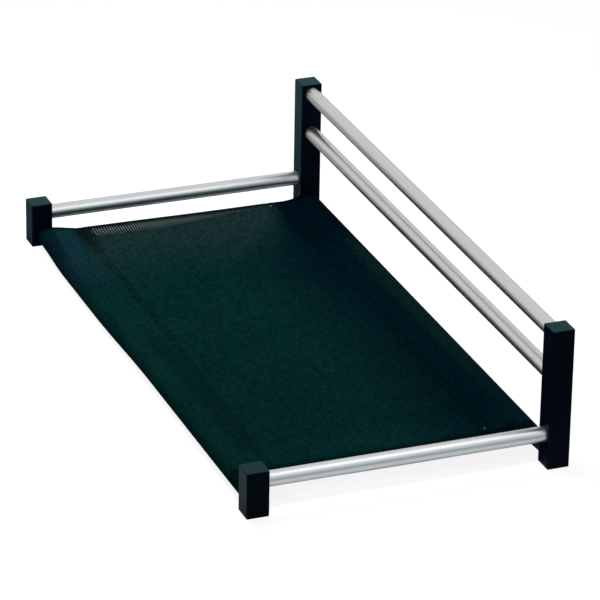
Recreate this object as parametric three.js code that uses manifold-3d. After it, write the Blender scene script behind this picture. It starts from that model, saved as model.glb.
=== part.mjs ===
// A sling bed for a cat: a knock-down frame of four square plastic posts, two
// low and two tall, joined by round aluminium tubes, with a panel of mesh cloth
// stretched between the two lowest tubes.
//
// Millimetres, +Z up. The origin is on the floor under the middle of the bed.
// +X points from the low side, where the cat steps on, to the tall side with its
// two rails, and +Y runs along the bed, from the front end to the back end.
import * as THREE from "three";
import { mergeVertices } from "three/addons/utils/BufferGeometryUtils.js";
import Module from "manifold-3d";

// The whole frame
const bedWidth = 430;
const bedLength = 888;
const tallPostHeight = 190;

// The posts, square blocks of moulded plastic with rounded edges
const postSide = 30;
const postCornerRound = 2.5;
const postEdgeRound = 1.5;

// The tubes, and the blind sockets in the posts that hold their ends
const tubeDiameter = 20;
const tubeWall = 1.2;
const socketClearance = 0.3;
const socketEndWall = 6;
const socketFloor = 5.2;
const socketWeb = 7.9;
const wallOverEndTube = 7.7;
const wallOverTopRail = 3.7;
const slingSocketSideWall = 1.7;
const railSpacing = 59;

// The cloth, one panel with a sleeve sewn along each long side
const clothThickness = 1;
const clothClearance = 0.3;
const clothEndGap = 3;
const seamInset = 57;
const seamRise = 5.5;
const seamAllowance = 8;
const clothSag = 1.5;

// The screws, one up through each foot and one behind each end of each rail
const screwDiameter = 4;
const screwHeadDiameter = 8;
const screwHeadHeight = 2.4;
const screwTipLength = 2.5;
const screwReach = 3.5;
const screwClearance = 0.3;
const screwHeadSink = 0.5;
const driveSlotWidth = 1;
const driveSlotLength = 5;
const driveSlotDepth = 1.2;

// Counts of faces round the curved shapes
const tubeSides = 32;
const screwSides = 16;
const cornerSteps = 3;
const edgeSteps = 2;
const sleeveSteps = 20;
const sagSteps = 8;

// A cut runs this far past the face that it opens
const overrun = 2;

// Worked out from the sizes above
const half = 0.5;
const tubeRadius = tubeDiameter * half;
const socketRadius = tubeRadius + socketClearance;
const socketDepth = postSide - socketEndWall;
const tubeInsertion = socketDepth - socketClearance;
const postX = (bedWidth - postSide) * half;
const postY = (bedLength - postSide) * half;
const slingTubeX = postX - (postSide * half - slingSocketSideWall - socketRadius);
const slingTubeZ = socketFloor + socketRadius;
const endTubeZ = slingTubeZ + socketRadius + socketWeb + socketRadius;
const lowPostHeight = endTubeZ + socketRadius + wallOverEndTube;
const topRailZ = tallPostHeight - wallOverTopRail - socketRadius;
const lowRailZ = topRailZ - railSpacing;
const endTubeLength = bedWidth - (postSide - tubeInsertion) * 2;
const longTubeLength = bedLength - (postSide - tubeInsertion) * 2;
const screwHoleRadius = screwDiameter * half + screwClearance;
const headHoleRadius = screwHeadDiameter * half + screwClearance;
const headHoleDepth = screwHeadSink + screwHeadHeight + screwClearance;
const clothLength = bedLength - (postSide + clothEndGap) * 2;

const wasm = await Module();
wasm.setup();

const finishes = {
  post: { color: 0x10161a, roughness: 0.5, metalness: 0 },
  tube: { color: 0xc9cbcb, roughness: 0.35, metalness: 0.9 },
  cloth: { color: 0x0b2326, roughness: 0.85, metalness: 0 },
  screw: { color: 0x8f9499, roughness: 0.4, metalness: 0.9 },
};

const bed = new THREE.Group();

function addMesh(parent, name, geometry, finish) {
  const mesh = new THREE.Mesh(geometry, new THREE.MeshStandardMaterial(finishes[finish]));
  mesh.name = name;
  parent.add(mesh);
  return mesh;
}

// Booleans

function toSolid(geometry) {
  const bare = geometry.clone();
  bare.deleteAttribute("normal");
  bare.deleteAttribute("uv");
  const merged = mergeVertices(bare);
  return new wasm.Manifold(new wasm.Mesh({
    numProp: 3,
    vertProperties: new Float32Array(merged.attributes.position.array),
    triVerts: new Uint32Array(merged.index.array),
  }));
}

function toGeometry(solid) {
  const mesh = solid.getMesh();
  const geometry = new THREE.BufferGeometry();
  geometry.setAttribute("position", new THREE.BufferAttribute(mesh.vertProperties, 3));
  geometry.setIndex(new THREE.BufferAttribute(mesh.triVerts, 1));
  return geometry;
}

function cut(geometry, cutters) {
  let solid = toSolid(geometry);
  for (const cutter of cutters) {
    solid = solid.subtract(toSolid(cutter));
  }
  return toGeometry(solid);
}

// A rod from one point to another along X, Y or Z, to cut holes with
function rod(radius, from, to, sides) {
  const start = new THREE.Vector3(...from);
  const run = new THREE.Vector3(...to).sub(start);
  const geometry = new THREE.CylinderGeometry(radius, radius, run.length(), sides);
  geometry.translate(0, run.length() * half, 0);
  const turn = new THREE.Quaternion();
  turn.setFromUnitVectors(new THREE.Vector3(0, 1, 0), run.clone().normalize());
  geometry.applyQuaternion(turn);
  geometry.translate(start.x, start.y, start.z);
  return geometry;
}

// Posts

function roundedSquare(side, radius) {
  const edge = side * half;
  const shape = new THREE.Shape();
  shape.moveTo(edge, radius - edge);
  shape.lineTo(edge, edge - radius);
  shape.absarc(edge - radius, edge - radius, radius, 0, Math.PI / 2, false);
  shape.lineTo(radius - edge, edge);
  shape.absarc(radius - edge, edge - radius, radius, Math.PI / 2, Math.PI, false);
  shape.lineTo(-edge, radius - edge);
  shape.absarc(radius - edge, radius - edge, radius, Math.PI, Math.PI * 3 / 2, false);
  shape.lineTo(edge - radius, -edge);
  shape.absarc(edge - radius, radius - edge, radius, Math.PI * 3 / 2, Math.PI * 2, false);
  return shape;
}

// A block on its foot, centred on the Z axis, with its long edges and its two
// ends rounded
function postBlock(height) {
  const core = roundedSquare(postSide - postEdgeRound * 2, postCornerRound - postEdgeRound);
  const block = new THREE.ExtrudeGeometry(core, {
    depth: height - postEdgeRound * 2,
    bevelThickness: postEdgeRound,
    bevelSize: postEdgeRound,
    bevelSegments: edgeSteps,
    curveSegments: cornerSteps,
  });
  block.translate(0, 0, postEdgeRound);
  return block;
}

// side is -1 on the low side and 1 on the tall side, end is -1 at the front
function post(height, side, end) {
  const wall = postSide * half;
  const deep = socketDepth - wall;
  const slingX = (slingTubeX - postX) * side;
  const cutters = [
    rod(socketRadius, [slingX, -end * (wall + overrun), slingTubeZ],
      [slingX, end * deep, slingTubeZ], tubeSides),
    rod(socketRadius, [-side * (wall + overrun), 0, endTubeZ],
      [side * deep, 0, endTubeZ], tubeSides),
    rod(screwHoleRadius, [slingX, 0, -overrun], [slingX, 0, endTubeZ], screwSides),
    rod(headHoleRadius, [slingX, 0, -overrun], [slingX, 0, headHoleDepth], screwSides),
  ];
  if (side > 0) {
    for (const z of [lowRailZ, topRailZ]) {
      cutters.push(
        rod(socketRadius, [0, -end * (wall + overrun), z], [0, end * deep, z], tubeSides),
        rod(screwHoleRadius, [wall + overrun, 0, z], [0, 0, z], screwSides),
        rod(headHoleRadius, [wall + overrun, 0, z], [wall - headHoleDepth, 0, z], screwSides),
      );
    }
  }
  return cut(postBlock(height), cutters);
}

function addPosts() {
  const rows = [
    ["front_low_post", lowPostHeight, -1, -1],
    ["back_low_post", lowPostHeight, -1, 1],
    ["front_tall_post", tallPostHeight, 1, -1],
    ["back_tall_post", tallPostHeight, 1, 1],
  ];
  for (const [name, height, side, end] of rows) {
    const mesh = addMesh(bed, name, post(height, side, end), "post");
    mesh.position.set(side * postX, end * postY, 0);
  }
}

// Tubes

// A tube along Z, centred on the origin, open at both ends
function tubeBlank(length) {
  const inner = tubeRadius - tubeWall;
  const end = length * half;
  const profile = [
    new THREE.Vector2(inner, -end),
    new THREE.Vector2(tubeRadius, -end),
    new THREE.Vector2(tubeRadius, end),
    new THREE.Vector2(inner, end),
    new THREE.Vector2(inner, -end),
  ];
  const geometry = new THREE.LatheGeometry(profile, tubeSides);
  geometry.rotateX(Math.PI / 2);
  return geometry;
}

function addEndTubes() {
  const blank = tubeBlank(endTubeLength);
  blank.rotateY(Math.PI / 2);
  for (const [name, end] of [["front_end_tube", -1], ["back_end_tube", 1]]) {
    const holes = [];
    for (const side of [-1, 1]) {
      const x = side * slingTubeX;
      holes.push(rod(screwHoleRadius, [x, 0, -tubeRadius - overrun], [x, 0, 0], screwSides));
    }
    const mesh = addMesh(bed, name, cut(blank, holes), "tube");
    mesh.position.set(0, end * postY, endTubeZ);
  }
}

function addSlingTubes() {
  const blank = tubeBlank(longTubeLength);
  blank.rotateX(Math.PI / 2);
  const past = tubeRadius + overrun;
  const holes = [-1, 1].map(
    (end) => rod(screwHoleRadius, [0, end * postY, -past], [0, end * postY, past], screwSides));
  for (const [name, side] of [["low_side_sling_tube", -1], ["tall_side_sling_tube", 1]]) {
    const mesh = addMesh(bed, name, cut(blank, holes), "tube");
    mesh.position.set(side * slingTubeX, 0, slingTubeZ);
  }
}

function addRails() {
  const blank = tubeBlank(longTubeLength);
  blank.rotateX(Math.PI / 2);
  const holes = [-1, 1].map(
    (end) => rod(screwHoleRadius, [0, end * postY, 0], [tubeRadius + overrun, end * postY, 0],
      screwSides));
  for (const [name, z] of [["low_rail", lowRailZ], ["top_rail", topRailZ]]) {
    const mesh = addMesh(bed, name, cut(blank, holes), "tube");
    mesh.position.set(postX, 0, z);
  }
}

// Screws

// A screw along Z with its head's outer face at zero and its point up
function screw(length) {
  const head = screwHeadDiameter * half;
  const shank = screwDiameter * half;
  const profile = [
    new THREE.Vector2(0, 0),
    new THREE.Vector2(head - screwHeadHeight * half, 0),
    new THREE.Vector2(head, screwHeadHeight * half),
    new THREE.Vector2(head, screwHeadHeight),
    new THREE.Vector2(shank, screwHeadHeight),
    new THREE.Vector2(shank, length - screwTipLength),
    new THREE.Vector2(0, length),
  ];
  const body = new THREE.LatheGeometry(profile, screwSides);
  body.rotateX(Math.PI / 2);
  const slots = [
    new THREE.BoxGeometry(driveSlotLength, driveSlotWidth, driveSlotDepth * 2),
    new THREE.BoxGeometry(driveSlotWidth, driveSlotLength, driveSlotDepth * 2),
  ];
  return cut(body, slots);
}

function addFootScrews() {
  const tip = endTubeZ - tubeRadius + tubeWall + screwReach;
  const geometry = screw(tip - screwHeadSink);
  const rows = [
    ["front_low_foot_screw", -1, -1],
    ["back_low_foot_screw", -1, 1],
    ["front_tall_foot_screw", 1, -1],
    ["back_tall_foot_screw", 1, 1],
  ];
  for (const [name, side, end] of rows) {
    const mesh = addMesh(bed, name, geometry, "screw");
    mesh.position.set(side * slingTubeX, end * postY, screwHeadSink);
  }
}

function addRailScrews() {
  const tip = postX + tubeRadius - tubeWall - screwReach;
  const head = bedWidth * half - screwHeadSink;
  const geometry = screw(head - tip);
  geometry.rotateY(-Math.PI / 2);
  const rows = [
    ["front_low_rail_screw", -1, lowRailZ],
    ["back_low_rail_screw", 1, lowRailZ],
    ["front_top_rail_screw", -1, topRailZ],
    ["back_top_rail_screw", 1, topRailZ],
  ];
  for (const [name, end, z] of rows) {
    const mesh = addMesh(bed, name, geometry, "screw");
    mesh.position.set(head, end * postY, z);
  }
}

// Sling

// Where a straight line from a point touches a circle round a sling tube.
// way is 1 for the touch over the tube and -1 for the touch under it.
function touchAngle(point, centre, radius, way) {
  const across = point[0] - centre[0];
  const up = point[1] - centre[1];
  return Math.atan2(up, across) - way * Math.acos(radius / Math.hypot(across, up));
}

// Points round the outer side of a sling tube on the +X side, from over it to
// under it, for the layer at one distance from the tube's centre
function sleeveArc(radius, apex) {
  const centre = [slingTubeX, slingTubeZ];
  const top = touchAngle(apex, centre, radius, 1);
  const foot = touchAngle(apex, centre, radius, -1);
  const start = top < 0 ? top + Math.PI * 2 : top;
  const stop = foot > 0 ? foot - Math.PI * 2 : foot;
  const points = [];
  for (let i = 0; i <= sleeveSteps; i++) {
    const angle = start + (stop - start) * i / sleeveSteps;
    points.push([centre[0] + radius * Math.cos(angle), centre[1] + radius * Math.sin(angle)]);
  }
  return points;
}

const seamX = slingTubeX - seamInset;
const seamZ = slingTubeZ + seamRise;
const sleeveInner = tubeRadius + clothClearance;
const sleeveOuter = sleeveInner + clothThickness;

// The cloth's middle sags a little between the two seams
function sagged(share, offset) {
  const x = seamX * (1 - share * 2);
  return [x, seamZ - clothSag * (1 - (1 - share * 2) ** 2) + offset];
}

function mirrored(points) {
  return points.map(([x, z]) => [-x, z]).reverse();
}

// The cloth's cross-section: the flat middle with a sleeve at each side. The
// sleeve goes over its tube and comes back under it to the seam.
function slingSection() {
  const rise = clothThickness * half;
  const overSeam = [seamX, seamZ + rise];
  const underSeam = [seamX, seamZ - rise - clothThickness];
  const hem = [seamX - seamAllowance, seamZ - rise - clothThickness];
  const hemStep = [seamX - seamAllowance, seamZ - rise];
  const outer = sleeveArc(sleeveOuter, [seamX, seamZ]);
  const rightSide = [overSeam, ...outer, underSeam, hem, hemStep];
  const under = [];
  for (let i = 1; i < sagSteps; i++) {
    const share = i / sagSteps;
    const [x, z] = sagged(share, -rise);
    if (Math.abs(x) < seamX - seamAllowance) {
      under.push([x, z]);
    }
  }
  const over = [];
  for (let i = 1; i < sagSteps; i++) {
    over.push(sagged(1 - i / sagSteps, rise));
  }
  return [...rightSide, ...under, ...mirrored(rightSide), ...over].reverse();
}

function sleeveHole(side) {
  const throat = [seamX + clothThickness * 2, seamZ - clothThickness * half];
  const loop = [throat, ...sleeveArc(sleeveInner, throat)];
  return side > 0 ? loop : mirrored(loop);
}

function toPath(points, kind) {
  return new kind(points.map(([x, z]) => new THREE.Vector2(x, z)));
}

function addSling() {
  const section = toPath(slingSection(), THREE.Shape);
  section.holes.push(toPath(sleeveHole(1), THREE.Path), toPath(sleeveHole(-1), THREE.Path));
  const cloth = new THREE.ExtrudeGeometry(section, { depth: clothLength, bevelEnabled: false });
  cloth.rotateX(Math.PI / 2);
  cloth.translate(0, clothLength * half, 0);
  addMesh(bed, "sling_cloth", cloth, "cloth");
}

addPosts();
addEndTubes();
addSlingTubes();
addRails();
addFootScrews();
addRailScrews();
addSling();

export default bed;
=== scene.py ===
# A sling bed for a cat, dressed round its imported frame. Metres, +Z up, with +X
# towards the tall side and +Y towards the back end.
import math

import bmesh
import bpy
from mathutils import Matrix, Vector


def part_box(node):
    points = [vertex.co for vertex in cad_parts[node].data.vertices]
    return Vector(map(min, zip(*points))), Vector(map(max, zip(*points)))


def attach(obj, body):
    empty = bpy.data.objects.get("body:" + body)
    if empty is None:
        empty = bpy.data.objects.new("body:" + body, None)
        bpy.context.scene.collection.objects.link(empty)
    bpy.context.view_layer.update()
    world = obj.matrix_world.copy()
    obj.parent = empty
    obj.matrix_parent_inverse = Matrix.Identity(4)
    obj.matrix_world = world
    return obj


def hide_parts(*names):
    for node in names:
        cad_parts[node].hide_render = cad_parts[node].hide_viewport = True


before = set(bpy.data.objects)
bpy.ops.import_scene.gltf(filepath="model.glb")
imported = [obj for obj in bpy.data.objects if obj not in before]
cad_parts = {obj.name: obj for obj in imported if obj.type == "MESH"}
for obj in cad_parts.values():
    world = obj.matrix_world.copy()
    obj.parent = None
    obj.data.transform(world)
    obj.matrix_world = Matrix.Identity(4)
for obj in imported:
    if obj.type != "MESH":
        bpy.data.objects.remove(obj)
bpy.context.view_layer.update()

# Corner posts
# Four square blocks moulded in black plastic with a satin skin, their edges
# rounded by the mould. Each has blind round sockets for the ends of its tubes
# and recessed holes for the screws that hold them. Painted light makes their
# tops paler, and their sides towards the low side too, less near the foot, but
# for the front tall post's side, which is left in painted shade.

MM = 0.001
same_level = 0.1 * MM

post_corner_round = 2 * MM
post_end_round = 1.5 * MM
post_round_steps = 5
socket_clearance = 0.3 * MM
socket_chamfer = 0.5 * MM
screw_diameter = 4 * MM
screw_head_diameter = 8 * MM
screw_head_height = 2.4 * MM
screw_clearance = 0.3 * MM
hole_sides = 64
overrun = 2 * MM
smooth_below = math.radians(30)

# The Mix node's sockets for colours: its share, the first, the second, the result
mix_inputs = (0, 6, 7)
mix_output = 2

plastic_colour = (0.0002, 0.0032, 0.0118, 1)
plastic_worn_colour = (0.0003, 0.0048, 0.0138, 1)
# Painted light: this paler teal stands for light falling on the tops and on the faces towards the low side
plastic_painted_light_colour = (0.0008, 0.028, 0.032, 1)
plastic_side_painted_light = 0.95
painted_light_facing = (0.4, 0.9)
painted_light_height = (6 * MM, 28 * MM)
plastic_ior = 1.11
plastic_roughness = (0.34, 0.46)
plastic_grain = 0.9 * MM
plastic_grain_height = 0.012 * MM
plastic_cloud = 26 * MM


def select_none():
    """Deselects every object, so that the next operator acts on its own piece."""
    bpy.ops.object.select_all(action="DESELECT")


def take(piece):
    """Makes a piece the only one selected."""
    select_none()
    piece.select_set(True)
    bpy.context.view_layer.objects.active = piece


def settle(piece, name):
    """Names a piece and puts its place and turn into its mesh."""
    take(piece)
    bpy.ops.object.transform_apply(location=True, rotation=True, scale=True)
    piece.name = name
    piece.data.name = name
    return piece


def add_modifier(piece, kind, **settings):
    """Adds a modifier to a piece and applies it."""
    take(piece)
    modifier = piece.modifiers.new(kind.lower(), kind)
    for setting, value in settings.items():
        setattr(modifier, setting, value)
    bpy.ops.object.modifier_apply(modifier=modifier.name)


def pick_edges(piece, wanted):
    """Selects the edges for which wanted(start, end) is true, in edit mode."""
    bpy.ops.mesh.select_mode(type="EDGE")
    bpy.ops.mesh.select_all(action="DESELECT")
    mesh = bmesh.from_edit_mesh(piece.data)
    for edge in mesh.edges:
        edge.select_set(wanted(edge.verts[0].co, edge.verts[1].co))
    bmesh.update_edit_mesh(piece.data)


def pick_faces(piece, wanted):
    """Selects the faces for which wanted(centre, normal) is true, in edit mode."""
    bpy.ops.mesh.select_mode(type="FACE")
    bpy.ops.mesh.select_all(action="DESELECT")
    mesh = bmesh.from_edit_mesh(piece.data)
    mesh.normal_update()
    for face in mesh.faces:
        face.select_set(wanted(face.calc_center_median(), face.normal))
    bmesh.update_edit_mesh(piece.data)


def cut_round(piece, start, end, start_radius, end_radius=None):
    """Cuts a round hole from one point to another, straight or tapered."""
    run = Vector(end) - Vector(start)
    select_none()
    bpy.ops.mesh.primitive_cone_add(
        vertices=hole_sides,
        radius1=start_radius,
        radius2=start_radius if end_radius is None else end_radius,
        depth=run.length,
        location=(Vector(start) + Vector(end)) / 2,
        rotation=run.to_track_quat("Z", "Y").to_euler(),
    )
    cutter = bpy.context.object
    add_modifier(piece, "BOOLEAN", object=cutter, operation="DIFFERENCE", solver="EXACT")
    bpy.data.objects.remove(cutter)


def smooth(piece):
    """Shades the rounded edges smooth and keeps the flat faces flat."""
    take(piece)
    bpy.ops.object.shade_smooth_by_angle(angle=smooth_below)
    add_modifier(piece, "WEIGHTED_NORMAL", keep_sharp=True)


def long_axis(low, high):
    """The number of the axis along which a box is longest."""
    size = high - low
    return max(range(3), key=lambda axis: size[axis])


def bore_socket(post, post_box, tube_node):
    """Bores the blind socket in a post for the nearer end of a tube."""
    low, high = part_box(tube_node)
    along = long_axis(low, high)
    middle = (low + high) / 2
    inward = 1 if post_box[0][along] > middle[along] else -1
    mouth = middle.copy()
    mouth[along] = post_box[0][along] if inward > 0 else post_box[1][along]
    bottom = middle.copy()
    bottom[along] = (high if inward > 0 else low)[along] + inward * socket_clearance
    outside = mouth.copy()
    outside[along] -= inward * overrun
    eased = mouth.copy()
    eased[along] += inward * socket_chamfer
    across = 2 if along != 2 else 0
    radius = (high[across] - low[across]) / 2 + socket_clearance
    cut_round(post, outside, bottom, radius)
    cut_round(post, outside, eased, radius + socket_chamfer + overrun, radius)


def bore_screw_hole(post, screw_node):
    """Bores the hole for a screw, with the recess that its head sinks into."""
    low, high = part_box(screw_node)
    along = long_axis(low, high)
    centre = (low + high) / 2
    from_below = along == 2
    face = centre.copy()
    face[along] = low[along] - overrun if from_below else high[along] + overrun
    seat = centre.copy()
    seat[along] = low[along] + screw_head_height if from_below else high[along] - screw_head_height
    seat[along] += screw_clearance if from_below else -screw_clearance
    tip = centre.copy()
    tip[along] = high[along] if from_below else low[along]
    cut_round(post, face, tip, screw_diameter / 2 + screw_clearance)
    cut_round(post, face, seat, screw_head_diameter / 2 + screw_clearance)


def mould_post(node, tubes, screws):
    """Moulds one post round its sockets."""
    low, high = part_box(node)
    select_none()
    bpy.ops.mesh.primitive_cube_add(size=1, location=(low + high) / 2, scale=high - low)
    post = settle(bpy.context.object, "moulded_" + node)
    upright = (high.z - low.z) / 2
    bpy.ops.object.mode_set(mode="EDIT")
    pick_edges(post, lambda start, end: abs(start.z - end.z) > upright)
    bpy.ops.mesh.bevel(offset=post_corner_round, segments=post_round_steps, affect="EDGES")
    foot_level = low.z + same_level
    top_level = high.z - same_level
    pick_edges(
        post,
        lambda start, end: max(start.z, end.z) < foot_level or min(start.z, end.z) > top_level,
    )
    bpy.ops.mesh.bevel(offset=post_end_round, segments=post_round_steps, affect="EDGES")
    bpy.ops.object.mode_set(mode="OBJECT")
    for tube in tubes:
        bore_socket(post, (low, high), tube)
    for screw in screws:
        bore_screw_hole(post, screw)
    smooth(post)
    return post


def new_finish(name):
    """A new material, and its shader."""
    finish = bpy.data.materials.new(name)
    finish.use_nodes = True
    return finish, finish.node_tree.nodes["Principled BSDF"]


def add_node(finish, kind, inputs=None, **settings):
    """Adds a node to a material. An input is a number, a colour or another node's output."""
    node = finish.node_tree.nodes.new(kind)
    for setting, value in settings.items():
        setattr(node, setting, value)
    for socket, value in (inputs or {}).items():
        if isinstance(value, bpy.types.NodeSocket):
            finish.node_tree.links.new(value, node.inputs[socket])
        else:
            node.inputs[socket].default_value = value
    return node


def wire(finish, source, shader, socket):
    """Joins a node's output to an input of a shader."""
    finish.node_tree.links.new(source, shader.inputs[socket])


def spots(finish, size, stretch=(1, 1, 1), detail=3):
    """Noise with spots about this size, drawn out along the axes by stretch."""
    where = add_node(finish, "ShaderNodeTexCoord").outputs["Object"]
    scale = [1 / (size * share) for share in stretch]
    turned = add_node(finish, "ShaderNodeMapping", {"Vector": where, "Scale": scale})
    noise = {"Vector": turned.outputs["Vector"], "Scale": 1, "Detail": detail}
    return add_node(finish, "ShaderNodeTexNoise", noise).outputs["Fac"]


def colours_between(finish, share, first, second, start=0.3, stop=0.7):
    """One colour below start, the other above stop, and between them a blend."""
    ramp = add_node(finish, "ShaderNodeValToRGB", {"Fac": share})
    ends = ramp.color_ramp.elements
    ends[0].position = start
    ends[0].color = first
    ends[1].position = stop
    ends[1].color = second
    return ramp.outputs["Color"]


def spread(finish, share, low, high):
    """A share from 0 to 1 as a value from low to high."""
    inputs = {"Value": share, "To Min": low, "To Max": high}
    return add_node(finish, "ShaderNodeMapRange", inputs).outputs["Result"]


def relief(finish, share, height):
    """The surface normal over a relief of this height."""
    inputs = {"Height": share, "Distance": height, "Strength": 1}
    return add_node(finish, "ShaderNodeBump", inputs).outputs["Normal"]


def maths(finish, operation, first, second=0):
    """The result of a sum on outputs or numbers."""
    inputs = {0: first, 1: second}
    return add_node(finish, "ShaderNodeMath", inputs, operation=operation).outputs["Value"]


def product(finish, first, *others):
    """Outputs or numbers, multiplied."""
    for other in others:
        first = maths(finish, "MULTIPLY", first, other)
    return first


def between(finish, value, start, stop, first, last):
    """Turns a value's range from start to stop into one from first to last, smoothly."""
    inputs = {"Value": value, "From Min": start, "From Max": stop, "To Min": first, "To Max": last}
    node = add_node(finish, "ShaderNodeMapRange", inputs, interpolation_type="SMOOTHSTEP")
    return node.outputs["Result"]


def blend(finish, share, first, second):
    """The first colour where share is 0, the second where it is 1."""
    inputs = dict(zip(mix_inputs, (share, first, second)))
    return add_node(finish, "ShaderNodeMix", inputs, data_type="RGBA").outputs[mix_output]


def plastic_finish(name, side_painted_light):
    """Black plastic with painted light: paler on its tops and, by the given share, on its sides towards -X,
    less near the foot.
    """
    finish, shader = new_finish(name)
    shader.inputs["IOR"].default_value = plastic_ior
    grain = spots(finish, plastic_grain)
    cloud = spots(finish, plastic_cloud)
    tone = colours_between(finish, cloud, plastic_colour, plastic_worn_colour)
    place = add_node(finish, "ShaderNodeTexCoord").outputs
    facing = add_node(finish, "ShaderNodeSeparateXYZ", {"Vector": place["Normal"]}).outputs
    above = add_node(finish, "ShaderNodeSeparateXYZ", {"Vector": place["Object"]}).outputs["Z"]
    top = between(finish, facing["Z"], *painted_light_facing, 0, 1)
    side = between(finish, product(finish, facing["X"], -1), *painted_light_facing, 0, side_painted_light)
    side = product(finish, side, between(finish, above, *painted_light_height, 0, 1))
    tone = blend(finish, maths(finish, "MAXIMUM", top, side), tone, plastic_painted_light_colour)
    wire(finish, tone, shader, "Base Color")
    wire(finish, spread(finish, cloud, *plastic_roughness), shader, "Roughness")
    wire(finish, relief(finish, grain, plastic_grain_height), shader, "Normal")
    return finish


# Two copies of one plastic: one with painted light on its sides towards the low side, one whose sides stay
# in painted shade; both have painted light on their tops
painted_light_plastic = plastic_finish("satin_black_plastic", plastic_side_painted_light)
shaded_plastic = plastic_finish("satin_black_plastic_shaded", 0)

for end in ("front", "back"):
    low_tubes = [end + "_end_tube", "low_side_sling_tube"]
    tall_tubes = [end + "_end_tube", "tall_side_sling_tube", "low_rail", "top_rail"]
    tall_screws = [end + "_tall_foot_screw", end + "_low_rail_screw", end + "_top_rail_screw"]
    for node, tubes, screws in (
        (end + "_low_post", low_tubes, [end + "_low_foot_screw"]),
        (end + "_tall_post", tall_tubes, tall_screws),
    ):
        post = mould_post(node, tubes, screws)
        # The front tall post takes the copy whose low-side face stays in painted shade
        shaded = node == "front_tall_post"
        post.data.materials.append(shaded_plastic if shaded else painted_light_plastic)
        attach(post, "root")
        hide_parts(node)

# Tubes
# Six drawn aluminium tubes, left bare, with fine lines along them from the die.
# Two cross the ends, two hold the cloth inside its sleeves, and two are the
# rails of the tall side. Each is sawn off and eased at its ends.

tube_wall = 1.2 * MM
tube_sides = 96
tube_end_round = 0.3 * MM
tube_end_steps = 2
tube_end_angle = math.radians(60)
halfway = 0.5
right_through = 1.2

# Painted reflection: the end tubes' colours are tinted cooler and the rails' warmer for the room that each
# mirrors. Dull and bright are the die lines.
end_tube_cool_reflection_colour = (0.615, 0.636, 0.645, 1)
end_tube_dull_cool_reflection_colour = (0.575, 0.595, 0.603, 1)
rail_warm_reflection_colour = (0.6, 0.603, 0.58, 1)
rail_dull_warm_reflection_colour = (0.555, 0.558, 0.535, 1)
end_tube_roughness = (0.32, 0.42)
rail_roughness = (0.32, 0.44)
die_line_width = 0.45 * MM
die_line_stretch = 180
die_line_height = 0.006 * MM
handling_mark = 30 * MM


def draw_tube(node):
    """Draws one tube to the length of its node."""
    low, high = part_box(node)
    along = long_axis(low, high)
    turn = [0, 0, 0]
    turn[1 - along] = math.pi / 2
    select_none()
    bpy.ops.mesh.primitive_cylinder_add(
        vertices=tube_sides,
        radius=(high.z - low.z) / 2,
        depth=high[along] - low[along],
        end_fill_type="NOTHING",
        location=(low + high) / 2,
        rotation=turn,
    )
    tube = settle(bpy.context.object, "drawn_" + node)
    add_modifier(tube, "SOLIDIFY", thickness=tube_wall, offset=-1)
    add_modifier(
        tube,
        "BEVEL",
        width=tube_end_round,
        segments=tube_end_steps,
        limit_method="ANGLE",
        angle_limit=tube_end_angle,
    )
    return tube


def drill_tube(tube, screw_node, far_share):
    """Drills a tube for a screw, from its head's side to a share of the way through."""
    low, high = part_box(screw_node)
    along = long_axis(low, high)
    tube_low, tube_high = (Vector(corner) for corner in (tube.bound_box[0], tube.bound_box[6]))
    start = (low + high) / 2
    stop = start.copy()
    if along == 2:
        start.z = tube_low.z - overrun
        stop.z = start.z + (tube_high.z - tube_low.z) * far_share + overrun
    else:
        start.x = tube_high.x + overrun
        stop.x = start.x - (tube_high.x - tube_low.x) * far_share - overrun
    cut_round(tube, start, stop, screw_diameter / 2 + screw_clearance)


def tube_finish(name, stretch, dull, bright, roughness):
    """Bare drawn aluminium, with its die lines along the given axis."""
    finish, shader = new_finish(name)
    shader.inputs["Metallic"].default_value = 1
    lines = spots(finish, die_line_width, stretch=stretch, detail=2)
    marks = spots(finish, handling_mark)
    tone = colours_between(finish, lines, dull, bright)
    wire(finish, tone, shader, "Base Color")
    wire(finish, spread(finish, marks, *roughness), shader, "Roughness")
    wire(finish, relief(finish, lines, die_line_height), shader, "Normal")
    return finish


# The two finishes differ in their painted reflection tints as well as in the way of their die lines
across_aluminium = tube_finish(
    "drawn_aluminium_across",
    (die_line_stretch, 1, 1),
    end_tube_dull_cool_reflection_colour,
    end_tube_cool_reflection_colour,
    end_tube_roughness,
)
lengthwise_aluminium = tube_finish(
    "drawn_aluminium_lengthwise",
    (1, die_line_stretch, 1),
    rail_dull_warm_reflection_colour,
    rail_warm_reflection_colour,
    rail_roughness,
)

tube_rows = (
    ("front_end_tube", across_aluminium, ["front_low_foot_screw", "front_tall_foot_screw"], halfway),
    ("back_end_tube", across_aluminium, ["back_low_foot_screw", "back_tall_foot_screw"], halfway),
    (
        "low_side_sling_tube",
        lengthwise_aluminium,
        ["front_low_foot_screw", "back_low_foot_screw"],
        right_through,
    ),
    (
        "tall_side_sling_tube",
        lengthwise_aluminium,
        ["front_tall_foot_screw", "back_tall_foot_screw"],
        right_through,
    ),
    ("low_rail", lengthwise_aluminium, ["front_low_rail_screw", "back_low_rail_screw"], halfway),
    ("top_rail", lengthwise_aluminium, ["front_top_rail_screw", "back_top_rail_screw"], halfway),
)
for node, finish, screws, far_share in tube_rows:
    tube = draw_tube(node)
    for screw in screws:
        drill_tube(tube, screw, far_share)
    smooth(tube)
    tube.data.materials.append(finish)
    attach(tube, "root")
    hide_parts(node)

# Screws
# Eight zinc-plated tapping screws with rounded pan heads and a cross recess.
# One goes up through each foot and both of the lower tubes in it, and one goes
# into each end of each rail from the outside.

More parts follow.
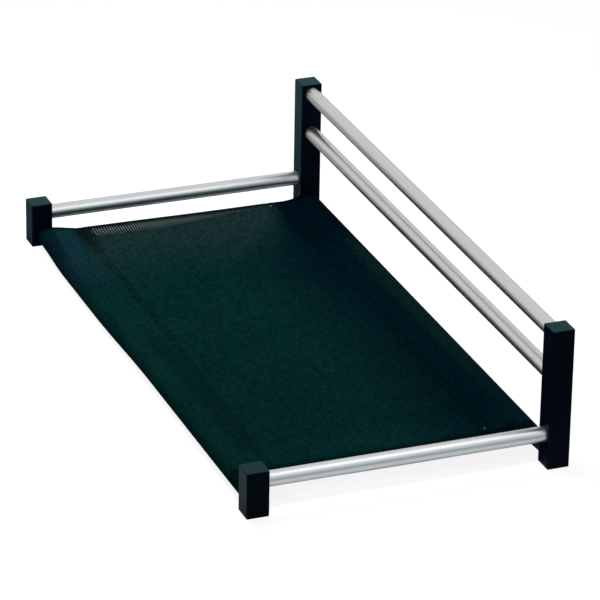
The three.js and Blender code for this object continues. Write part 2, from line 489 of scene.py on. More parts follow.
screw_tip_length = 2.5 * MM
screw_tip_radius = 0.3 * MM
screw_sides = 48
pan_round = 1.3 * MM
pan_round_steps = 5
recess_width = 1 * MM
recess_length = 5 * MM
recess_depth = 1.4 * MM
recess_taper = 0.6
facing_up = 0.999

zinc_colour = (0.5, 0.51, 0.52, 1)
zinc_dull_colour = (0.38, 0.39, 0.4, 1)
zinc_roughness = (0.25, 0.45)
zinc_cloud = 2 * MM
zinc_relief = 0.01 * MM

zinc, shader = new_finish("zinc_plated_steel")
shader.inputs["Metallic"].default_value = 1
cloud = spots(zinc, zinc_cloud)
wire(zinc, colours_between(zinc, cloud, zinc_dull_colour, zinc_colour), shader, "Base Color")
wire(zinc, spread(zinc, cloud, *zinc_roughness), shader, "Roughness")
wire(zinc, relief(zinc, cloud, zinc_relief), shader, "Normal")


def turn_screw(length):
    """A screw along Z with its head's outer face at zero and its point up."""
    head_radius = screw_head_diameter / 2
    select_none()
    bpy.ops.mesh.primitive_cylinder_add(
        vertices=screw_sides,
        radius=head_radius,
        depth=screw_head_height,
        location=(0, 0, screw_head_height / 2),
    )
    screw = settle(bpy.context.object, "screw")
    bpy.ops.object.mode_set(mode="EDIT")
    pick_edges(screw, lambda start, end: max(start.z, end.z) < same_level)
    bpy.ops.mesh.bevel(offset=pan_round, segments=pan_round_steps, affect="EDGES")
    pick_faces(screw, lambda centre, normal: normal.z > facing_up)
    bpy.ops.mesh.inset(thickness=head_radius - screw_diameter / 2)
    shank = length - screw_tip_length - screw_head_height
    for rise, narrowing in ((shank, 1), (screw_tip_length, screw_tip_radius * 2 / screw_diameter)):
        bpy.ops.mesh.extrude_region_move(TRANSFORM_OT_translate={"value": (0, 0, rise)})
        bpy.ops.transform.resize(value=(narrowing, narrowing, 1))
    bpy.ops.object.mode_set(mode="OBJECT")
    for size in ((recess_length, recess_width), (recess_width, recess_length)):
        select_none()
        bpy.ops.mesh.primitive_cube_add(size=1, scale=(*size, recess_depth * 2))
        cutter = settle(bpy.context.object, "recess")
        bpy.ops.object.mode_set(mode="EDIT")
        pick_faces(cutter, lambda centre, normal: normal.z > facing_up)
        bpy.ops.transform.resize(value=(recess_taper, recess_taper, 1))
        bpy.ops.object.mode_set(mode="OBJECT")
        add_modifier(screw, "BOOLEAN", object=cutter, operation="DIFFERENCE", solver="EXACT")
        bpy.data.objects.remove(cutter)
    smooth(screw)
    screw.data.materials.append(zinc)
    return screw


def drive_screw(pattern, node):
    """Puts a copy of a screw where its node is."""
    low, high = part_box(node)
    screw = pattern.copy()
    screw.data = pattern.data.copy()
    bpy.context.scene.collection.objects.link(screw)
    middle = (low + high) / 2
    if long_axis(low, high) == 2:
        screw.location = (middle.x, middle.y, low.z)
    else:
        screw.rotation_euler = (0, -math.pi / 2, 0)
        screw.location = (high.x, middle.y, middle.z)
    settle(screw, "driven_" + node)
    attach(screw, "root")
    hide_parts(node)


for use, posts in (("foot", ("low", "tall")), ("rail", ("low", "top"))):
    nodes = [f"{end}_{post}_{use}_screw" for end in ("front", "back") for post in posts]
    low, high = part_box(nodes[0])
    pattern = turn_screw(max(high - low))
    for node in nodes:
        drive_screw(pattern, node)
    bpy.data.objects.remove(pattern)

# Sling cloth
# One panel of black coated mesh, woven from plastic-covered yarn. Each long side
# is turned under a tube and sewn back to the panel, which makes a sleeve, and the
# tubes pull the panel flat. The under layer's corners are cut off at a slant.

cloth_thickness = 0.6 * MM
cloth_back = 411 * MM
cloth_front = -408.5 * MM
cloth_length = cloth_back - cloth_front
sleeve_play = 0.3 * MM
layer_gap = 0.05 * MM
hem_allowance = 14 * MM
seam_height = 21.4 * MM
front_lift = 0.7 * MM
middle_sag = 1 * MM
seam_pinch = 0.4 * MM
seam_pinch_reach = 2.6 * MM
stations = 110
hem_steps = 16
under_steps = 14
round_steps = 36
over_steps = 20
middle_steps = 44
slack_power = 1.5
over_crowding = 1.6
cloth_marks = ("single", "pinch", "sleeve", "to_end")

# The seams wander a little, as a hand guides them. Each row here is a place along
# the bed and how far out from the middle the seam's outer row is there, both in
# millimetres. The inner row follows it.
low_seam = ((-409, 156), (-310, 155), (-130, 152), (-10, 150), (90, 147.5), (170, 148.5), (411, 152))
tall_seam = ((-409, 147.5), (-310, 147.5), (-190, 145.5), (-70, 147.5), (50, 149.5), (230, 152), (411, 140))
low_inner_row = -6.5 * MM
tall_inner_row = -9.5 * MM

# The low side's sleeve is fuller at its ends, and hangs a little in its back half
end_fullness = {-1: 1.4 * MM, 1: 0.3 * MM}
plain_fullness = 0.3 * MM
end_reach = 45 * MM
low_slack = 4 * MM
low_slack_from = -60 * MM
low_slack_to = 400 * MM
slack_ramp = 110 * MM
plain_slack = 0.4 * MM
slack_turn = math.radians(-50)

# How far the under layer is cut back at its ends, by the seam and by the tube
cut_by_seam = 8 * MM
cut_by_tube = 34 * MM
cut_widest_share = 0.93

# How much further than the panel the sleeves reach, at the front and the back, and
# how far the mouth of each is pulled in between its tube and its seam
sleeve_beyond = (5.1 * MM, 2.6 * MM)
sleeve_beyond_ramp = 0.2
mouth_scoop = {-1: 0, 1: 6.5 * MM}

# The panel's back end is cut a little short towards the tall side
back_skew = 5.5 * MM
back_skew_across = (-60 * MM, 160 * MM)

tube_low, tube_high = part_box("tall_side_sling_tube")
sling_tube_x = (tube_low.x + tube_high.x) / 2
sling_tube_z = (tube_low.z + tube_high.z) / 2
sling_tube_radius = (tube_high.z - tube_low.z) / 2
sleeve_radius = sling_tube_radius + sleeve_play + cloth_thickness / 2


def smoothly(value, start, stop):
    """Goes from 0 at start to 1 at stop with no corner."""
    share = min(max((value - start) / (stop - start), 0), 1)
    return share * share * (3 - 2 * share)


def seam_place(side, y):
    """How far from the middle a seam's outer row is, at y along the bed."""
    places = tall_seam if side > 0 else low_seam
    out = places[0][1]
    for (start, before), (stop, after) in zip(places, places[1:]):
        out += (after - before) * smoothly(y, start * MM, stop * MM)
    return out * MM


def panel_height(y):
    """The height of the panel at its seams, which rises a little at the front end."""
    return seam_height + front_lift * (1 - smoothly(y, cloth_front, cloth_front + end_reach * 2))


def slack_at(side, y):
    """How far the sleeve hangs away from its tube, at y along the bed."""
    if side > 0:
        return plain_slack
    rise = smoothly(y, low_slack_from, low_slack_from + slack_ramp * 2)
    fall = 1 - smoothly(y, low_slack_to - slack_ramp, low_slack_to)
    return plain_slack + (low_slack - plain_slack) * rise * fall


def fullness_at(side, y):
    """How far the sleeve's upper layer rises over a straight line, at y."""
    near_end = smoothly(abs(y), cloth_back - end_reach, cloth_back)
    return plain_fullness + (end_fullness[side] - plain_fullness) * near_end


def touch_angle(out, up, way):
    """The angle at which a straight line from a point touches the sleeve's circle."""
    return math.atan2(up, out) - way * math.acos(sleeve_radius / math.hypot(out, up))


def pinch_at(side, from_seam):
    """How near a point is to a row of stitches, from 0 to 1."""
    rows = (0, tall_inner_row if side > 0 else low_inner_row)
    return sum(math.exp(-(((from_seam - row) / seam_pinch_reach) ** 2)) for row in rows)


def sleeve_line(side, y):
    """The cloth from its hem round the tube to the seam, at y.

    A point is its distance from the middle, its height, how far it is cut back at
    the cloth's ends, its share of the sleeve's longer reach, how single the cloth
    is there, and how near it is to a row of stitches.
    """
    seam = seam_place(side, y)
    over_height = panel_height(y)
    under_height = over_height - cloth_thickness - layer_gap
    top = touch_angle(seam - sling_tube_x, over_height - sling_tube_z, 1)
    foot = touch_angle(seam - sling_tube_x, under_height - sling_tube_z, -1) - 2 * math.pi
    slack = slack_at(side, y)
    around = []
    for step in range(round_steps + 1):
        angle = foot + (top - foot) * step / round_steps
        bulge = slack * max(0, math.cos(angle - slack_turn)) ** slack_power
        radius = sleeve_radius + bulge
        out = sling_tube_x + radius * math.cos(angle)
        beyond = smoothly(step / round_steps, 0, sleeve_beyond_ramp)
        around.append((out, sling_tube_z + radius * math.sin(angle), 0, beyond, 0, 0))
    points = []
    for step in range(hem_steps):
        from_seam = -hem_allowance * (1 - step / hem_steps)
        pinch = pinch_at(side, from_seam)
        height = under_height - seam_pinch * pinch
        points.append((seam + from_seam, height, cut_by_seam, 0, 0, pinch))
    for step in range(under_steps):
        share = step / under_steps
        from_seam = (around[0][0] - seam) * share
        pinch = pinch_at(side, from_seam)
        droop = slack / 2 * math.sin(math.pi * share) + seam_pinch * pinch
        height = under_height + (around[0][1] - under_height) * share - droop
        if share < cut_widest_share:
            cut = cut_by_seam + (cut_by_tube - cut_by_seam) * share / cut_widest_share
        else:
            cut = cut_by_tube * (1 - share) / (1 - cut_widest_share)
        points.append((seam + from_seam, height, cut, 0, 0, pinch))
    points += around
    full = fullness_at(side, y)
    for step in range(1, over_steps + 1):
        share = 1 - (1 - step / over_steps) ** over_crowding
        rise = full * math.sin(math.pi * math.sqrt(share))
        out = around[-1][0] + (seam - around[-1][0]) * share
        pinch = pinch_at(side, out - seam)
        height = around[-1][1] + (over_height - around[-1][1]) * share
        beyond = 1 - smoothly(share, 0, 1)
        cut = mouth_scoop[side] * math.sin(math.pi * share)
        points.append((out, height + rise - seam_pinch * pinch, cut, beyond, 0, pinch))
    return points


def panel_line(y):
    """The panel between the seams, at y, as points like those of sleeve_line."""
    start, stop = -seam_place(-1, y), seam_place(1, y)
    places = [start + hem_allowance * step / hem_steps for step in range(1, hem_steps + 1)]
    span = stop - start - hem_allowance * 2
    places += [start + hem_allowance + span * step / middle_steps for step in range(1, middle_steps)]
    places += [stop - hem_allowance * (1 - step / hem_steps) for step in range(hem_steps)]
    points = []
    for x in places:
        from_low, from_tall = start - x, x - stop
        across = (x - start) / (stop - start)
        pinch = pinch_at(-1, from_low) + pinch_at(1, from_tall)
        past_hem = -max(from_low, from_tall) - hem_allowance
        single = smoothly(past_hem, 0, MM)
        sag = middle_sag * (1 - (1 - across * 2) ** 2)
        points.append((x, panel_height(y) - sag - seam_pinch * pinch, 0, 0, single, pinch))
    return points


def cloth_line(y):
    """The whole cloth at y, from the low side's hem to the tall side's."""
    low = [(-point[0], *point[1:]) for point in sleeve_line(-1, y)]
    tall = sleeve_line(1, y)
    return low + panel_line(y) + tall[::-1]


def back_cut(x):
    """How far the panel's back end is cut short, at x across the bed."""
    start, stop = back_skew_across
    return back_skew * max(0, (x - start) / (stop - start))


def weave_cloth():
    """Lofts the cloth, with a UV map in metres and marks for its layers, seams and ends."""
    points = []
    flat_places = []
    marks = {name: [] for name in cloth_marks}
    widths = []
    middle_y = (cloth_back + cloth_front) / 2
    for step in range(stations + 1):
        y = cloth_front + cloth_length * step / stations
        line = cloth_line(y)
        run = [0]
        for here, after in zip(line, line[1:]):
            run.append(run[-1] + math.hypot(after[0] - here[0], after[1] - here[1]))
        widths.append(run[-1])
        from_middle = (y - middle_y) / (cloth_length / 2)
        reach = sleeve_beyond[1] if from_middle > 0 else sleeve_beyond[0]
        for (x, z, cut, beyond, single, pinch), length in zip(line, run):
            place = y + from_middle * (beyond * reach - cut)
            place -= max(0, from_middle) * back_cut(x) * (1 - beyond)
            points.append((x, place, z))
            flat_places.append((length - run[-1] / 2, place))
            to_end = cloth_length / 2 - abs(y - middle_y)
            for name, value in zip(cloth_marks, (single, pinch, beyond, to_end)):
                marks[name].append(value)
    count = len(line)
    faces = []
    for row in range(stations):
        for column in range(count - 1):
            corner = row * count + column
            faces.append((corner, corner + 1, corner + count + 1, corner + count))
    mesh = bpy.data.meshes.new("sling")
    mesh.from_pydata(points, [], faces)
    flat = mesh.uv_layers.new(name="cloth")
    for loop in mesh.loops:
        flat.data[loop.index].uv = flat_places[loop.vertex_index]
    for name, values in marks.items():
        mesh.attributes.new(name, "FLOAT", "POINT").data.foreach_set("value", values)
    sling = bpy.data.objects.new("sling", mesh)
    bpy.context.scene.collection.objects.link(sling)
    return sling, sum(widths) / len(widths)


yarn_pitch = 1.3 * MM
pick_pitch = 1.2 * MM
yarn_height = 0.16 * MM
yarn_hollow_share = 0.6
yarn_slub = 3.8 * MM
yarn_slub_stretch = (1, 2.1, 1)
yarn_slub_spots = (0.25, 0.75)
yarn_slub_share = (0.66, 1.34)
sealed_edge = 3.4 * MM
end_dark_reach = (1.5 * MM, 14 * MM)
end_dark_share = 0.72

# Rows of slots between the yarns: they lean a little, and the pull of the tubes
# opens them at the cloth's ends, more on the low side
slot_pitch = 3.89 * MM
slot_lean = 0.02
slot_half_width = 0.5 * MM
slot_shut_share = 0.1
slot_reach = (44 * MM, 26 * MM)
slot_opens = (0, 0.42)
slot_shuts = (0.5, 1)
slot_side = (-60 * MM, 130 * MM)
slot_side_share = 0.45
cord_dark_share = 0.4
bar_pitch = 4.2 * MM
bar_width = 0.4 * MM

yarn_colour = (0.0024, 0.0295, 0.0275, 1)
yarn_blue_colour = (0.0014, 0.0245, 0.0262, 1)
mesh_cloud = 90 * MM
mesh_ior = 1.02
mesh_roughness = (0.5, 0.7)

# The cloth's colour holds painted light and shade. Painted light makes it paler
# towards its back end, and it is paler towards its front end too and bluer on the
# low sleeve's back half. Painted shade darkens it towards the tall side, most in
# the back corner there, and the crest over the tall tube is painted lighter, the
# tube's light showing through the mesh
# Painted light towards the back end
back_end_painted_light_colour = (0.013, 0.0355, 0.038, 1)
back_end = (190 * MM, 400 * MM)
front_end_gain = 1.16
front_end = (-340 * MM, -285 * MM)
low_sleeve_colour = (0.0055, 0.0335, 0.046, 1)
low_sleeve_across = (-170 * MM, -150 * MM)
low_sleeve_along = (180 * MM, 330 * MM)
# Painted shade towards the tall side
shade_side_colour = (0.0002, 0.0102, 0.0162, 1)
shade_side_start = (-12 * MM, 118 * MM)
shade_side_start_along = (190 * MM, 400 * MM)
shade_side_stop = (168 * MM, 146 * MM)
shade_side_stop_along = (0, 200 * MM)
# Painted light on the tall sleeve's crest, from the tube showing through the mesh
crest_painted_light_colour = (0.003, 0.0195, 0.02, 1)
crest_across = (160 * MM, 172 * MM)
crest_reach = (0.55, 1)
crest_front_along = (-230 * MM, -150 * MM)
crest_front_share = 0.5
crest_back_along = (290 * MM, 385 * MM)
# Painted shade in the tall side's back corner
corner_painted_shade_colour = (0.0002, 0.0056, 0.0108, 1)
corner_across = (124 * MM, 148 * MM)
corner_along = (190 * MM, 290 * MM)

# Painted shade darkens the low sleeve on its inner slope, where it lies double,
# and at its back end on the seam and on its outer side
inner_slope_across = (-188 * MM, -172 * MM, -163 * MM, -150 * MM)
inner_slope_along = (-325 * MM, -290 * MM, 10 * MM, 90 * MM)
inner_slope_painted_shade_share = 0.26
seam_end_across = (-172 * MM, -160 * MM, -142 * MM, -132 * MM)
seam_end_along = (290 * MM, 400 * MM)
seam_end_painted_shade_share = 0.6
outer_side_across = (-200 * MM, -188 * MM)
outer_side_along = (150 * MM, 400 * MM)
outer_side_painted_shade_share = 0.55

# The whole cloth is darker along its seams, and in the front end tube's shade
seam_dark_share = 0.34
tube_shade_along = (-362.5 * MM, -352 * MM)
tube_shade_dark_share = 0.55


def band(finish, value, start, full, fade, stop):
    """Goes from 0 to 1 between start and full, and back to 0 between fade and stop."""
    rise = between(finish, value, start, full, 0, 1)
    return product(finish, rise, between(finish, value, fade, stop, 1, 0))


def mesh_slots(finish, across, along, single, to_end):
    """How far the slots are pulled open, from 0 to 1, and the places that they bare."""
    skewed = maths(finish, "SUBTRACT", across, product(finish, along, slot_lean))
    from_slot = maths(finish, "PINGPONG", skewed, slot_pitch / 2)
    from_bar = maths(finish, "PINGPONG", along, bar_pitch / 2)
    reach = between(finish, across, *slot_side, *slot_reach)
    pulled = maths(finish, "DIVIDE", to_end, reach)
    opened = product(
        finish,
        between(finish, pulled, *slot_opens, 0, 1),
        between(finish, pulled, *slot_shuts, 1, slot_shut_share),
        between(finish, across, *slot_side, 1, slot_side_share),
        single,
    )
    in_slot = maths(finish, "LESS_THAN", from_slot, product(finish, opened, slot_half_width))
    off_bar = maths(finish, "GREATER_THAN", from_bar, bar_width / 2)
    unsealed = maths(finish, "GREATER_THAN", to_end, sealed_edge)
    return opened, product(finish, in_slot, off_bar, unsealed)


def mesh_tone(finish, across, along, sleeve):
    """The cloth's colour, with painted light and shade place by place."""
    cloud = spots(finish, mesh_cloud)
    tone = colours_between(finish, cloud, yarn_blue_colour, yarn_colour)
    tone = blend(finish, between(finish, along, *back_end, 0, 1), tone, back_end_painted_light_colour)
    low_sleeve = product(
        finish,
        between(finish, across, *low_sleeve_across, 1, 0),
        between(finish, along, *low_sleeve_along, 0, 1),
    )
    tone = blend(finish, low_sleeve, tone, low_sleeve_colour)
    shade_start = between(finish, along, *shade_side_start_along, *shade_side_start)
    shade_stop = between(finish, along, *shade_side_stop_along, *shade_side_stop)
    shade_side = between(finish, across, shade_start, shade_stop, 0, 1)
    tone = blend(finish, shade_side, tone, shade_side_colour)
    crest = product(
        finish,
        between(finish, across, *crest_across, 0, 1),
        between(finish, sleeve, *crest_reach, 0, 1),
        between(finish, along, *crest_front_along, crest_front_share, 1),
        between(finish, along, *crest_back_along, 1, 0),
    )
    tone = blend(finish, crest, tone, crest_painted_light_colour)
    corner = product(
        finish,
        between(finish, along, *corner_along, 0, 1),
        between(finish, across, *corner_across, 0, 1),
    )
    return blend(finish, corner, tone, corner_painted_shade_colour)


def mesh_depth(finish, height, across, along, pinch, to_end, opened):
    """What the cloth's colour is multiplied by, for its weave, slubs, dark seams and ends, a paler front
    end and painted shade.
    """
    slub = spots(finish, yarn_slub, stretch=yarn_slub_stretch, detail=2)
    depth = product(
        finish,
        spread(finish, height, yarn_hollow_share, 1),
        between(finish, along, *front_end, front_end_gain, 1),
        between(finish, slub, *yarn_slub_spots, *yarn_slub_share),
    )
    inner_slope = product(
        finish,
        band(finish, across, *inner_slope_across),
        band(finish, along, *inner_slope_along),
    )
    seam_end = product(
        finish,
        band(finish, across, *seam_end_across),
        between(finish, along, *seam_end_along, 0, 1),
    )
    outer_side = product(
        finish,
        between(finish, across, *outer_side_across, 1, 0),
        between(finish, along, *outer_side_along, 0, 1),
    )
    # Seams, ends and opened cords are darker; the low sleeve's marks and the strip behind the front end
    # tube are painted shade
    for place, dark_share in (
        (pinch, seam_dark_share),
        (between(finish, to_end, *end_dark_reach, 1, 0), end_dark_share),
        (opened, cord_dark_share),
        (inner_slope, inner_slope_painted_shade_share),
        (seam_end, seam_end_painted_shade_share),
        (outer_side, outer_side_painted_shade_share),
        (between(finish, along, *tube_shade_along, 1, 0), tube_shade_dark_share),
    ):
        depth = product(finish, depth, spread(finish, place, 1, 1 - dark_share))
    return depth


coated_mesh, shader = new_finish("black_coated_mesh")
shader.inputs["IOR"].default_value = mesh_ior
cloth_map = add_node(coated_mesh, "ShaderNodeUVMap", uv_map="cloth").outputs["UV"]
parts = add_node(coated_mesh, "ShaderNodeSeparateXYZ", {"Vector": cloth_map}).outputs
across, along = parts["X"], parts["Y"]
single, pinch, sleeve, to_end = [
    add_node(coated_mesh, "ShaderNodeAttribute", attribute_name=name).outputs["Fac"]
    for name in cloth_marks
]
warp = maths(coated_mesh, "SINE", product(coated_mesh, across, math.pi / yarn_pitch))
weft = maths(coated_mesh, "SINE", product(coated_mesh, along, math.pi / pick_pitch))
height = maths(coated_mesh, "ABSOLUTE", product(coated_mesh, warp, weft))
opened, bare = mesh_slots(coated_mesh, across, along, single, to_end)
tone = mesh_tone(coated_mesh, across, along, sleeve)
depth = mesh_depth(coated_mesh, height, across, along, pinch, to_end, opened)
deep = add_node(coated_mesh, "ShaderNodeVectorMath", {0: tone, 1: depth}, operation="MULTIPLY")
wire(coated_mesh, deep.outputs["Vector"], shader, "Base Color")
wire(coated_mesh, spread(coated_mesh, height, *reversed(mesh_roughness)), shader, "Roughness")
wire(coated_mesh, relief(coated_mesh, height, yarn_height), shader, "Normal")
wire(coated_mesh, maths(coated_mesh, "SUBTRACT", 1, bare), shader, "Alpha")

sling, flat_width = weave_cloth()
settle(sling, "mesh_sling")
add_modifier(sling, "SOLIDIFY", thickness=cloth_thickness, offset=0)
take(sling)
bpy.ops.object.shade_smooth_by_angle(angle=smooth_below)
sling.data.materials.append(coated_mesh)
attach(sling, "root")
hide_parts("sling_cloth")

# Seams
# Two rows of black lockstitch hold each sleeve's hem to the panel. A few short
# stitches across the seam bind each of its ends. The tall side's are painted
# pale, a painted glint on their cut thread.

stitch_pitch = 3.6 * MM
stitch_length = 3.2 * MM
thread_diameter = 0.45 * MM
thread_sides = 6
stitch_cuts = 4
seam_end_margin = 10 * MM
stitch_sink = 0.05 * MM
tack_width = 2.6 * MM
tack_pitch = 0.8 * MM
tack_count = 6
tack_rise = 0.35 * MM
tack_out = 1.8 * MM
tack_turns = (math.radians(110), math.radians(70))
tack_places = (-352 * MM, 393 * MM)

thread_colour = (0.0004, 0.009, 0.0105, 1)
thread_light_colour = (0.0008, 0.0155, 0.0175, 1)
# Painted highlight: the pale glint on the tall side's cut thread ends
painted_glint_colour = (0.3, 0.34, 0.34, 1)
painted_glint_dark_colour = (0.16, 0.19, 0.19, 1)
thread_roughness = (0.5, 0.7)
thread_ply = 0.5 * MM
thread_ply_height = 0.05 * MM
thread_smooth_below = math.radians(70)


def thread_finish(name, dark, light):
    """Twisted thread, with the light and dark of its plies."""
    finish, shader = new_finish(name)
    shader.inputs["IOR"].default_value = mesh_ior
    plies = spots(finish, thread_ply, detail=1)
    wire(finish, colours_between(finish, plies, dark, light), shader, "Base Color")
    wire(finish, spread(finish, plies, *thread_roughness), shader, "Roughness")
    wire(finish, relief(finish, plies, thread_ply_height), shader, "Normal")
    return finish


seam_thread = thread_finish("black_thread", thread_colour, thread_light_colour)
glint_tack_thread = thread_finish("painted_glint_thread", painted_glint_dark_colour, painted_glint_colour)


def form_stitch(length, sink):
    """One stitch along Y, with its two ends bent down into the cloth."""
    select_none()
    bpy.ops.mesh.primitive_cylinder_add(
        vertices=thread_sides,
        radius=thread_diameter / 2,
        depth=length,
        rotation=(math.pi / 2, 0, 0),
    )
    stitch = settle(bpy.context.object, "stitch")
    bpy.ops.object.mode_set(mode="EDIT")
    for cut in range(1, stitch_cuts):
        place = length * (cut / stitch_cuts - 1 / 2)
        bpy.ops.mesh.select_all(action="SELECT")
        bpy.ops.mesh.bisect(plane_co=(0, place, 0), plane_no=(0, 1, 0))
    bpy.ops.object.mode_set(mode="OBJECT")
    for vertex in stitch.data.vertices:
        share = abs(vertex.co.y) / (length / 2)
        vertex.co.z -= sink + thread_diameter * share ** 4
    return stitch


def sew_row(name, side, offset, upper, pattern):
    """Copies a stitch along one row of a seam, on the cloth or under its hem."""
    surface = cloth_thickness / 2 if upper else -cloth_thickness * 3 / 2 - layer_gap
    run = cloth_length - seam_end_margin * 2
    count = int(run / stitch_pitch)
    row = pattern.copy()
    row.data = pattern.data.copy()
    bpy.context.scene.collection.objects.link(row)
    row.location.y = cloth_front + seam_end_margin
    if not upper:
        row.rotation_euler = (0, math.pi, 0)
    settle(row, name)
    add_modifier(
        row,
        "ARRAY",
        count=count,
        use_relative_offset=False,
        use_constant_offset=True,
        constant_offset_displace=(0, run / count, 0),
    )
    for vertex in row.data.vertices:
        vertex.co.x += side * (seam_place(side, vertex.co.y) + offset)
        vertex.co.z += panel_height(vertex.co.y) - seam_pinch + surface
    return row


def join(pieces, name):
    """Joins pieces into one."""
    take(pieces[0])
    for piece in pieces[1:]:
        piece.select_set(True)
    bpy.ops.object.join()
    return settle(bpy.context.object, name)


def bind_end(side, y):
    """Short stitches to and fro across a seam, at y."""
    row = tall_inner_row if side > 0 else low_inner_row
    out = side * (seam_place(side, y) + row + tack_out)
    bars = []
    for count in range(tack_count):
        bar = form_stitch(tack_width, 0)
        bar.rotation_euler = (0, 0, tack_turns[count % 2])
        bar.location = (out, y + count * tack_pitch, panel_height(y) - seam_pinch + tack_rise)
        bars.append(settle(bar, "bar"))
    return bars


stitch = form_stitch(stitch_length, stitch_sink)
threads = []
for side, side_name in ((-1, "low_side"), (1, "tall_side")):
    rows = [
        sew_row("row", side, offset, upper, stitch)
        for offset in (0, tall_inner_row if side > 0 else low_inner_row)
        for upper in (True, False)
    ]
    seam = join(rows, side_name + "_seam_thread")
    seam.data.materials.append(seam_thread)
    tacks = []
    for y in tack_places:
        tacks += bind_end(side, y)
    tack = join(tacks, side_name + "_seam_ends")
    # The tall side's seam ends take the painted glint
    tack.data.materials.append(glint_tack_thread if side > 0 else seam_thread)
    threads += [seam, tack]
bpy.data.objects.remove(stitch)
for thread in threads:
    take(thread)
    bpy.ops.object.shade_smooth_by_angle(angle=thread_smooth_below)
    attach(thread, "root")

# Floor and backdrop
# A pale studio floor that runs out of sight. The camera sees it washed out almost
# to white, with a faint shadow of the bed. Metal and gaps in the mesh show it as
# the light falls on it. What mirrors it shows a gleam just before the bed's front
# end, and shade behind the back end.

floor_size = 60
floor_washed_colour = (0.3, 0.3, 0.3, 1)
floor_plain_colour = (0.84, 0.89, 0.92, 1)
floor_bounce_colour = (0.3, 0.3, 0.3, 1)
floor_wash = 0.88
past_a_gap = 0.5
floor_gleam = 0.4
floor_gleam_along = (-560 * MM, -490 * MM, -455 * MM, -430 * MM)
floor_shade_colour = (0.28, 0.35, 0.39, 1)
floor_shade_along = (400 * MM, 440 * MM, 500 * MM, 900 * MM)

floor_paint, shader = new_finish("pale_floor")
shader.inputs["Roughness"].default_value = 1
shader.inputs["Specular IOR Level"].default_value = 0
shader.inputs["Emission Color"].default_value = (1, 1, 1, 1)
path = add_node(floor_paint, "ShaderNodeLightPath").outputs
bounced = maths(floor_paint, "MAXIMUM", path["Is Diffuse Ray"], path["Is Shadow Ray"])
through = maths(floor_paint, "GREATER_THAN", path["Transparent Depth"], past_a_gap)
mirrored = maths(floor_paint, "MAXIMUM", path["Is Glossy Ray"], path["Is Transmission Ray"])
plainly = maths(floor_paint, "MAXIMUM", through, mirrored)
where = add_node(floor_paint, "ShaderNodeTexCoord").outputs["Object"]
along = add_node(floor_paint, "ShaderNodeSeparateXYZ", {"Vector": where}).outputs["Y"]
shade = product(floor_paint, band(floor_paint, along, *floor_shade_along), mirrored)
tone = blend(floor_paint, plainly, floor_washed_colour, floor_plain_colour)
tone = blend(floor_paint, shade, tone, floor_shade_colour)
tone = blend(floor_paint, bounced, tone, floor_bounce_colour)
wire(floor_paint, tone, shader, "Base Color")
straight = maths(floor_paint, "SUBTRACT", path["Is Camera Ray"], plainly)
washed = product(floor_paint, maths(floor_paint, "MAXIMUM", straight, 0), floor_wash)
gleam = product(floor_paint, band(floor_paint, along, *floor_gleam_along), mirrored, floor_gleam)
wire(floor_paint, maths(floor_paint, "ADD", washed, gleam), shader, "Emission Strength")

select_none()
bpy.ops.mesh.primitive_plane_add(size=floor_size)
floor = settle(bpy.context.object, "studio_floor")
floor.data.materials.append(floor_paint)

# Light
# Two wide soft boxes over the bed in a white room, which is dimmer and bluer low
# down towards the front for what mirrors it. The box in front shows in the metal.
# The other hangs over the back half and isn't mirrored.

room_low_down = (0.05, 0.6)
room_side = (0, 0.9)
room_side_dark = 0.15
room_front = (-0.95, -0.1)
room_front_dark = 0.5
room_dark_colour = (0.8, 0.97, 1.03, 1)
room_white = (1, 1, 1, 1)
room_fill = 0.17
room_fill_front = (-0.9, 0.3)
room_fill_front_dark = 0.25

bed_middle = (0, 0, 0)
front_box_place = (0.4, -0.7, 1.25)
front_box_size = 0.78
front_box_power = 2.2
back_box_place = (-0.2, 0.35, 1.15)
back_box_size = 0.8
back_box_power = 12.3

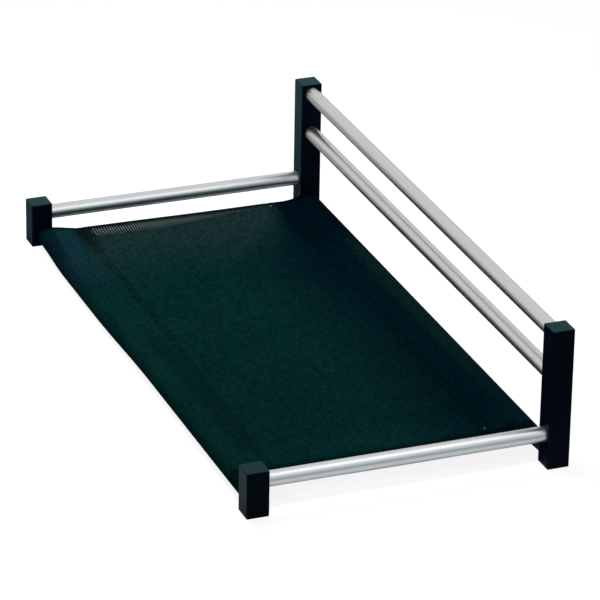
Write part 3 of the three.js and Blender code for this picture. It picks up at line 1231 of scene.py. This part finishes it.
world = bpy.data.worlds.new("white_room")
bpy.context.scene.world = world
world.use_nodes = True
backdrop = world.node_tree.nodes["Background"]
path = add_node(world, "ShaderNodeLightPath").outputs
mirrored = maths(world, "MAXIMUM", path["Is Glossy Ray"], path["Is Transmission Ray"])
direction = add_node(world, "ShaderNodeTexCoord").outputs["Generated"]
parts = add_node(world, "ShaderNodeSeparateXYZ", {"Vector": direction}).outputs
low_down = between(world, maths(world, "ABSOLUTE", parts["Z"]), *room_low_down, 1, 0)
beside = between(world, parts["Y"], *room_side, room_side_dark, 0)
ahead = between(world, parts["Y"], *room_front, room_front_dark, 0)
dark = product(world, maths(world, "MAXIMUM", beside, ahead), low_down)
reflected = product(world, mirrored, maths(world, "SUBTRACT", 1, dark))
tinted = product(world, mirrored, maths(world, "DIVIDE", dark, room_front_dark))
least_fill = room_fill * (1 - room_fill_front_dark)
fill = between(world, parts["Y"], *room_fill_front, least_fill, room_fill)
shown = maths(world, "MAXIMUM", path["Is Camera Ray"], mirrored)
fill = product(world, maths(world, "SUBTRACT", 1, shown), fill)
strength = maths(world, "ADD", maths(world, "ADD", path["Is Camera Ray"], reflected), fill)
wire(world, strength, backdrop, "Strength")
wire(world, blend(world, tinted, room_white, room_dark_colour), backdrop, "Color")


def hang_light(name, place, aim, size, power, in_metal):
    """Hangs a square soft box that points at a place, and may show in metal."""
    select_none()
    bpy.ops.object.light_add(type="AREA", location=place)
    lamp = bpy.context.object
    lamp.name = name
    lamp.data.shape = "SQUARE"
    lamp.data.size = size
    lamp.data.energy = power
    lamp.visible_glossy = in_metal
    lamp.rotation_euler = (Vector(aim) - Vector(place)).to_track_quat("-Z", "Y").to_euler()
    return lamp


hang_light("front_box", front_box_place, bed_middle, front_box_size, front_box_power, True)
hang_light("back_box", back_box_place, bed_middle, back_box_size, back_box_power, False)

# Camera
# A long lens from the front and the low side, at the photograph's angle.

camera_place = (-1.7450754, -4.4988603, 2.304005)
camera_turn = (65.136604, -0.91642, -21.045357)
camera_lens = 242.1114
camera_sensor = 36

select_none()
turn = [math.radians(angle) for angle in camera_turn]
bpy.ops.object.camera_add(location=camera_place, rotation=turn)
camera = bpy.context.object
camera.name = "camera"
camera.data.lens = camera_lens
camera.data.sensor_width = camera_sensor
camera.data.clip_end = floor_size * 2
bpy.context.scene.camera = camera
bpy.context.scene.view_settings.view_transform = "Standard"
